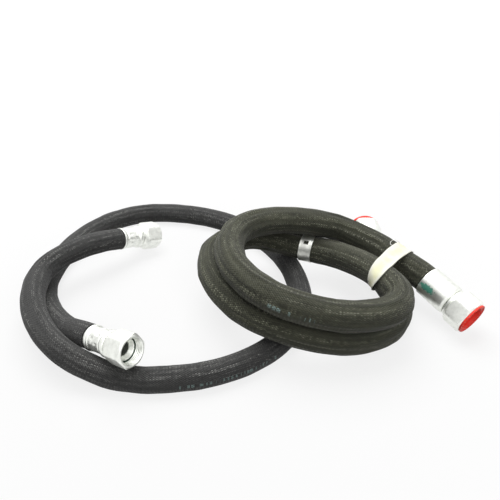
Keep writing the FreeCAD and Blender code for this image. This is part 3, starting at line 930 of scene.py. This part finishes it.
def band_mesh(name):
    """Ring strip of two skins with a slot through both."""
    i = line_index(large_line, LOW_BACK[0]) + round(BAND_PAST_BACK / STEP)
    way = way_at(large_line, i)
    out = square_to(np.array(SLOT_TOWARD), way)
    radius = LARGE_OD / 2 + BAND_GAP
    angle = even_angles(BAND_POINTS)
    along = np.concatenate([np.linspace(-0.5, -0.42, 4), np.linspace(-0.36, 0.36, 14),
                            np.linspace(0.42, 0.5, 4)]) * BAND_WIDTH
    rise = BAND_BORDER * np.clip((np.abs(along) / BAND_WIDTH - 0.40) / 0.04, 0, 1)
    ring = spokes(angle, out, np.cross(way, out))
    skins = [large_line[i] + ring[None] * (radius + lift)[:, None, None] + (way * along[:, None])[:, None]
             for lift in (BAND_WALL + rise, 0 * rise)]
    points = np.concatenate([skin.reshape(-1, 3) for skin in skins])
    obj = new_object(name, points, strip_faces(metal_cells(along, angle, radius)))
    obj.data.set_sharp_from_angle(angle=math.radians(40))
    return obj


band = placed(band_mesh("id_band_slotted"), "large_line", "id_band")
print("band faces", len(band.data.polygons))

# %% [markdown]
# ## A small kit for materials
#
# Every finish here is a network of nodes. This helper adds a node, sets its inputs by
# name or by wire, and returns its output, so each material below reads as a short recipe.

# %% Node helper
class Recipe:
    """A material or a world whose nodes are added one by one."""

    def __init__(self, name, home="materials", output="OutputMaterial"):
        self.made = getattr(bpy.data, home).new(name)
        self.made.use_nodes = True
        self.tree = self.made.node_tree
        self.tree.nodes.clear()
        self.output = self.tree.nodes.new("ShaderNode" + output)

    def add(self, kind, out=0, settings=None, **inputs):
        """Add a node, give it settings and inputs, and return one of its outputs."""
        node = self.tree.nodes.new("ShaderNode" + kind)
        for key, value in (settings or {}).items():
            setattr(node, key, value)
        for key, value in inputs.items():
            key = key.replace("_", " ")
            socket = node.inputs[int(key[1:])] if key[1:].isdigit() else node.inputs[key]
            if isinstance(value, bpy.types.NodeSocket):
                self.tree.links.new(value, socket)
            else:
                socket.default_value = value
        return node.outputs[out]

    def math(self, operation, a, b=0.0, c=0.0):
        """A math node with up to three inputs."""
        return self.add("Math", settings={"operation": operation}, i0=a, i1=b, i2=c)

    plus = partialmethod(math, "ADD")
    minus = partialmethod(math, "SUBTRACT")
    scaled = partialmethod(math, "MULTIPLY_ADD")
    most = partialmethod(math, "MAXIMUM")
    below = partialmethod(math, "LESS_THAN")
    above = partialmethod(math, "GREATER_THAN")

    def times(self, product, *others):
        """The product of two values or more."""
        for other in others:
            product = self.math("MULTIPLY", product, other)
        return product

    def inside(self, value, low, high):
        """1 where a value lies between two limits, else 0."""
        return self.times(self.above(value, low), self.below(value, high))

    def ramp(self, value, low, high, start=0.0, end=1.0):
        """Map a value from low..high to start..end, held at both ends."""
        return self.add("MapRange", Value=value, From_Min=low, From_Max=high, To_Min=start, To_Max=end)

    def humps(self, value, length):
        """A row of round humps between 0 and 1, each of the same length."""
        return self.math("ABSOLUTE", self.math("SINE", self.times(value, math.pi / length)))

    def mix(self, share, a, b):
        """Blend two colours by a share from 0 to 1."""
        return self.add("Mix", 2, {"data_type": "RGBA"}, i0=share, i6=a, i7=b)

    def vector(self, operation, *vectors):
        """A vector node; a length or a dot product comes out as a plain value."""
        out = 1 if operation in ("LENGTH", "DOT_PRODUCT") else 0
        inputs = {"i%d" % k: vector for k, vector in enumerate(vectors)}
        return self.add("VectorMath", out, {"operation": operation}, **inputs)

    def place(self):
        """Where a shading point lies, in metres."""
        return self.add("TexCoord", 3)

    def uv(self, name):
        """The two values of a UV map."""
        return self.add("SeparateXYZ", i0=self.add("UVMap", settings={"uv_map": name})).node.outputs[:2]

    def noise(self, scale, detail=2.0, roughness=0.5, at=None):
        """Soft noise where the shading point lies, or at another place."""
        return self.add("TexNoise", Vector=at or self.place(), Scale=scale, Detail=detail,
                        Roughness=roughness)

    def bump(self, height, strength, distance=0.0003):
        """A surface normal from a height."""
        return self.add("Bump", Height=height, Strength=strength, Distance=distance)

    def finish(self, shader):
        """Wire the shader to the output and return the material or world."""
        self.tree.links.new(shader, self.output.inputs["Surface"])
        return self.made


print("a recipe has", ", ".join(name for name in vars(Recipe) if not name.startswith("_")))

# %% Colours as they are seen
def shade(red, green, blue):
    """A colour as it is seen, 0 to 255, as the linear value that a shader takes."""
    def linear(c):
        c = c / 255
        return c / 12.92 if c <= 0.04045 else ((c + 0.055) / 1.055) ** 2.4
    return (linear(red), linear(green), linear(blue), 1)


print("charcoal", [round(c, 3) for c in shade(70, 70, 69)])

# %% [markdown]
# ## Braided textile cover
#
# The hoses wear an impregnated cotton braid. Two families of yarn run round the tube in
# opposite helices and pass over and under each other. With metres along the hose and
# turns round it as coordinates, both families are plain straight waves, and a
# checkerboard of crossings says which yarn is on top. Here and there a crossing shows
# bare, paler cotton, mostly in rows where the hose has rubbed on something.

# %% Weave, bare cotton and marks
# dark and light end the yarn tone: painted shade between the yarns and painted highlight on their crowns;
# dust is bare cotton
CHARCOAL = dict(dark=shade(21, 21, 21), light=shade(66, 66, 65), dust=shade(122, 122, 119))
OLIVE = dict(dark=shade(21, 22, 13), light=shade(68, 69, 55), dust=shade(124, 125, 108))
INK = shade(138, 160, 156)
MARK_HALF = 0.022        # half the height of a mark, as a share of a turn
SMALL_MARK = dict(start=0.785, length=0.105, middle=0.050, dash=0.0040, toward=(0.0, -1.0, 0.05))
LARGE_MARK = dict(start=0.806, length=0.042, middle=0.021, dash=0.0044, toward=(-0.2, -1.0, 0.05))


def woven(m, phases, floors):
    """Height of two families of yarn that pass over and under each other in turn."""
    over = m.math("ABSOLUTE", m.math("MODULO", m.plus(*floors), 2.0))
    return m.most(m.times(m.humps(phases[0], 1), m.scaled(over, 0.5, 0.5)),
                  m.times(m.humps(phases[1], 1), m.scaled(over, -0.5, 1.0)))


def bare_cotton(m, run, turn, phases, floors):
    """Share of bare cotton: single crossings, mostly in rows that were rubbed."""
    rows = m.add("CombineXYZ", i0=m.times(run, 5.0), i1=m.times(turn, 26.0), i2=7.0)
    patch = m.noise(55.0, 6.0, 0.62)
    rubbed = m.times(m.ramp(m.noise(1.0, 1.0, at=rows), 0.47, 0.60), m.ramp(patch, 0.34, 0.56))
    lot = m.add("TexWhiteNoise", Vector=m.add("CombineXYZ", i0=floors[0], i1=floors[1]))
    knot = m.math("MINIMUM", m.humps(phases[0], 1), m.humps(phases[1], 1))
    row = m.math("MODULO", m.plus(m.minus(*floors), 1000.0), 2.0)
    return m.times(m.ramp(lot, 0.15, 0.55), m.scaled(rubbed, 0.95, 0.05), m.ramp(knot, 0.30, 0.60),
                   m.scaled(m.below(row, 0.5), 0.6, 0.4))


def dashes(m, run, turn, mark, facing):
    """1 on a mark's plain dashes, which are of uneven length, else 0."""
    here = m.inside(run, mark["start"], mark["start"] + mark["length"])
    band = m.inside(turn, facing - MARK_HALF, facing + MARK_HALF)
    step = m.math("DIVIDE", run, mark["dash"])
    lot = m.add("TexWhiteNoise", settings={"noise_dimensions": "1D"}, W=m.math("FLOOR", step))
    return m.times(here, band, m.below(m.math("FRACT", step), m.scaled(lot, 1.1, -0.25)))


print("dashes on %.3f m of the small hose" % SMALL_MARK["length"])

# %% Cover material
def cover_material(name, colours, yarns, pitch, streaks, mark, facing):
    """Braid of crossing yarns with painted highlight on their crowns and painted shade between them, bare
    specks, fine fibre and a plain mark.
    """
    m = Recipe(name)
    run, turn = m.uv("along_and_round")
    lay, round_ = m.math("DIVIDE", run, pitch), m.times(turn, yarns)
    phases = [m.plus(lay, round_), m.minus(lay, round_)]
    floors = [m.math("FLOOR", phase) for phase in phases]
    weave = woven(m, phases, floors)
    wear = m.noise(320.0, 5.0, 0.7)
    streak = m.noise(1.0, at=m.add("CombineXYZ", i0=m.times(run, 14.0), i1=m.times(turn, 16.0)))
    # the weave's height sets the tone: painted highlight on the yarn crowns and painted shade in the
    # hollows between them; the wear noise is random tone
    tone = m.plus(m.times(weave, 0.55), m.times(wear, 0.75))
    tone = m.plus(tone, m.scaled(streak, streaks, -0.5 * streaks))
    colour = m.mix(m.ramp(tone, 0.45, 1.05), colours["dark"], colours["light"])
    colour = m.mix(bare_cotton(m, run, turn, phases, floors), colour, colours["dust"])
    ink = m.times(dashes(m, run, turn, mark, facing), m.ramp(m.plus(weave, wear), 0.80, 1.20), 0.75)
    fibre = m.noise(1400.0, 3.0, 0.7)
    bump = m.bump(m.plus(weave, m.times(fibre, 0.35)), 1.0, 0.0004)
    return m.finish(m.add("BsdfPrincipled", Base_Color=m.mix(ink, colour, INK), Roughness=0.78, Normal=bump,
                          Specular_IOR_Level=0.3, Sheen_Weight=0.10, Sheen_Roughness=0.5))


def turn_facing(line, mark):
    """Share of a turn round the tube at which its side faces a mark's direction."""
    normal, side = carried_frames(line)[1:]
    i = int((mark["start"] + mark["middle"]) / STEP)
    toward = np.array(mark["toward"])
    return float(np.arctan2(side[i].dot(toward), normal[i].dot(toward)) / (2 * math.pi) % 1)


small_turn = turn_facing(small_line, SMALL_MARK)
large_turn = turn_facing(large_line, LARGE_MARK)
small_hose.data.materials.append(cover_material(
    "charcoal braid", CHARCOAL, yarns=40, pitch=0.0030, streaks=0.5, mark=SMALL_MARK, facing=small_turn))
large_hose.data.materials.append(cover_material(
    "olive braid", OLIVE, yarns=44, pitch=0.0032, streaks=0.8, mark=LARGE_MARK, facing=large_turn))
print("covers dressed; marks at turn %.2f and %.2f" % (small_turn, large_turn))

# %% [markdown]
# ## Plated metal, moulded plastic and cotton tape
#
# Zinc plate is a bright, slightly warm metal with soft, uneven gloss. One ferrule also
# carries a dab of green inspection paint, and the open nuts carry painted shade in the
# groove round the seat and in the bore. The tape is a plain weave in cream.

# %% Metal
ZINC = shade(250, 252, 246)
ZINC_ROUGH = 0.42
# painted shade for the groove round the seat and the bore of an open nut
RECESS_SHADE = shade(52, 74, 62)
PAINT = shade(52, 132, 112)
PAINT_SIZE = 0.0042
SEAT_GROOVE = (0.0111, 0.0134)   # metres from the axis
GROOVE_SPAN = (0.0430, 0.0475)   # and metres along it
OPEN_BORE = 0.0076
BORE_UP_TO = 0.0490


def from_axis(m, end):
    """Distance of a shading point from a fitting's axis, and how far along it the point is."""
    point, way = tuple(end[0]), tuple(end[1])
    arm = m.vector("SUBTRACT", m.place(), point)
    return m.vector("LENGTH", m.vector("CROSS_PRODUCT", arm, way)), m.vector("DOT_PRODUCT", arm, way)


def with_recess_shade(m, tint, end):
    """A colour with painted shade in the groove round the seat and in the bore."""
    out, along = from_axis(m, end)
    groove = m.times(m.inside(out, *SEAT_GROOVE), m.inside(along, *GROOVE_SPAN))
    bore = m.times(m.below(out, OPEN_BORE), m.below(along, BORE_UP_TO))
    return m.mix(m.most(m.times(groove, 0.94), m.times(bore, 0.45)), tint, RECESS_SHADE)


def dabbed(m, metal, bump, centre, way):
    """A metal with a ragged dab of paint, twice as long along the axis as across it."""
    arm = m.vector("SUBTRACT", m.place(), centre)
    along, far = m.vector("DOT_PRODUCT", arm, way), m.vector("LENGTH", arm)
    far = m.minus(m.times(far, far), m.times(along, along, 0.75))
    far = m.math("SQRT", m.most(far, 0.0))
    ragged = m.plus(far, m.scaled(m.noise(260.0, 4.0, 0.7), 0.012, -0.006))
    cover = m.minus(1.0, m.ramp(ragged, PAINT_SIZE * 0.85, PAINT_SIZE * 1.1))
    coat = m.add("BsdfPrincipled", Base_Color=PAINT, Roughness=0.55, Normal=bump)
    return m.add("MixShader", i0=m.times(cover, 0.85), i1=metal, i2=coat)


def plated_material(name, colour=ZINC, rough=ZINC_ROUGH, dab=None, mouth=None):
    """Zinc-plated steel with a fine grain and dull patches, perhaps with paint or with painted shade in an
    open mouth.
    """
    m = Recipe(name)
    patch = m.noise(180.0, 5.0, 0.6)
    bump = m.bump(m.scaled(m.noise(2500.0), 0.3, patch), 0.25)
    tint = m.mix(m.ramp(patch, 0.35, 0.7), colour, tuple(c * 0.80 for c in colour[:3]) + (1,))
    # painted shade inside an open mouth
    if mouth:
        tint = with_recess_shade(m, tint, mouth)
    shader = m.add("BsdfPrincipled", Base_Color=tint, Metallic=1.0, Normal=bump,
                   Roughness=m.scaled(patch, 0.25, rough - 0.12))
    return m.finish(dabbed(m, shader, bump, *dab) if dab else shader)


def on_skin(end, s, along, degrees):
    """A point on a ferrule's skin, in metres, by its place along and round the axis."""
    point, way, across, high = axis_frame(end)
    out = spokes(np.radians([degrees]), across, high)[0]
    return tuple(point + way * along + out * s["ferrule"] / 1000)


dab = (on_skin(LARGE_END_1, LARGE_END, 0.010, 160), tuple(LARGE_END_1[1]))
zinc = plated_material("zinc plate")
band_metal = plated_material("band metal", shade(244, 245, 238), 0.44)
finishes = {"large_end_1_ferrule": plated_material("zinc plate with paint", dab=dab)}
for name in ("small_end_1", "small_end_2"):
    shaded_mouth = plated_material("zinc plate of " + name, mouth=ENDS[name][0])
    finishes.update({name + "_nut": shaded_mouth, name + "_nipple": shaded_mouth})
print("special finishes for", ", ".join(finishes))

# %% Plastic, tape and thread
WARP = 0.0009
WEFT = 0.0011


def plastic_material(name, colour, rough):
    """Moulded plastic with a fine orange-peel surface and pale pink patches of painted highlight."""
    m = Recipe(name)
    # painted highlight: pale pink patches mixed into the red
    painted_highlight = m.ramp(m.noise(220.0, 4.0), 0.5, 0.75)
    pink_highlighted = m.mix(m.times(painted_highlight, 0.30), colour, shade(250, 124, 108))
    bump = m.bump(m.noise(900.0), 0.1)
    return m.finish(m.add("BsdfPrincipled", Base_Color=pink_highlighted, Roughness=rough, Normal=bump,
                          Specular_IOR_Level=0.25, Subsurface_Weight=0.15, Subsurface_Scale=0.002))


def tape_material(name):
    """Plain-weave cotton tape: warp and weft threads with painted shade between them, and a yellowed
    middle.
    """
    m = Recipe(name)
    along, across = m.uv("along_and_across")
    weave = m.times(m.humps(across, WARP), m.humps(along, WEFT))
    from_middle = m.math("ABSOLUTE", m.minus(across, STRAP_WIDTH / 2))
    middle = m.minus(1.0, m.ramp(from_middle, 0.002, 0.009))
    stain = m.ramp(m.noise(70.0, 3.0), 0.25, 0.55)
    yellow = m.times(m.scaled(middle, 0.8, 0.2), stain)
    colour = m.mix(yellow, shade(238, 238, 229), shade(242, 240, 198))
    # painted shade: a little grey in the hollows between the threads
    colour = m.mix(m.times(m.minus(1.0, weave), 0.10), colour, shade(196, 196, 180))
    return m.finish(m.add("BsdfPrincipled", Base_Color=colour, Roughness=0.85,
                          Normal=m.bump(weave, 0.8), Sheen_Weight=0.2))


def thread_material(name):
    """Loose cotton with a little fuzz in its colour."""
    m = Recipe(name)
    colour = m.mix(m.noise(900.0), shade(236, 236, 226), shade(250, 250, 244))
    return m.finish(m.add("BsdfPrincipled", Base_Color=colour, Roughness=0.9))


plug_red = plastic_material("plug red", shade(250, 66, 52), 0.45)
for name, piece in pieces.items():
    piece.data.materials.append(plug_red if name.endswith("plug") else finishes.get(name, zinc))
band.data.materials.append(band_metal)
strap.data.materials.append(tape_material("cotton tape"))
thread.data.materials.append(thread_material("cotton thread"))
for obj in nodes.values():
    obj.data.materials.clear()
    obj.data.materials.append(zinc)
print(len(nodes), "CAD pieces and", len(pieces), "turned pieces dressed")

# %% [markdown]
# ## Floor and light
#
# The photograph is a product shot on white: a large soft light from above, a weak one in
# front and white all round, so the shadows are short and pale. Shiny metal sees a
# brighter room than the cloth does, which keeps the plate white and the hoses dark.

# %% Floor
PAPER = 0.17
PAPER_GLOW = 0.795
PAPER_FADE = (0.8, 2.0)   # metres from the middle over which the paper turns plain white


def floor_material():
    """White paper that keeps a soft shadow and reads white to camera and gloss."""
    m = Recipe("white paper")
    path = m.add("LightPath")
    seen = m.most(path, path.node.outputs["Is Glossy Ray"])
    lit = m.add("BsdfDiffuse", Color=(PAPER, PAPER, PAPER, 1), Roughness=1.0)
    bright = m.ramp(m.vector("LENGTH", m.place()), *PAPER_FADE, PAPER_GLOW, 1.0)
    glow = m.add("Emission", Color=(1, 1, 1, 1), Strength=m.times(seen, bright))
    return m.finish(m.add("AddShader", i0=lit, i1=glow))


bpy.ops.mesh.primitive_plane_add(size=12, location=(0, 0, 0))
floor = bpy.context.object
floor.name = "floor"
floor.data.materials.append(floor_material())
print("floor laid")

# %% Room and lights
ROOM = 0.42               # what lights the cloth
DARK_WALL = 0.93          # what gloss sees low down
BRIGHT_TENT = 0.98        # and what it sees above
TENT_RISE = (0.05, 0.42)  # height of a direction over which the one turns into the other


def room():
    """A white room, plain white to the camera, brighter to gloss than to cloth."""
    m = Recipe("white room", "worlds", "OutputWorld")
    up = m.add("SeparateXYZ", 2, i0=m.add("TexCoord"))
    tent = m.ramp(up, *TENT_RISE, DARK_WALL, BRIGHT_TENT)
    path = m.add("LightPath")
    seen = m.most(path, m.times(path.node.outputs["Is Glossy Ray"], tent))
    return m.finish(m.add("Background", Color=(1, 1, 1, 1), Strength=m.most(seen, ROOM)))


def softbox(name, size, place, power):
    """A square area light that faces the middle of the floor."""
    light = bpy.data.lights.new(name, "AREA")
    light.size = size
    light.energy = power
    lamp = bpy.data.objects.new(name, light)
    bpy.context.collection.objects.link(lamp)
    lamp.location = place
    lamp.rotation_euler = (-Vector(place)).to_track_quat("-Z", "Y").to_euler()


bpy.context.scene.world = room()
softbox("overhead", 1.4, (-0.2, 0.5, 1.6), 37)
softbox("front fill", 1.0, (0.5, -1.4, 1.3), 8)
bpy.context.scene.view_settings.view_transform = "Standard"
print("stage set")
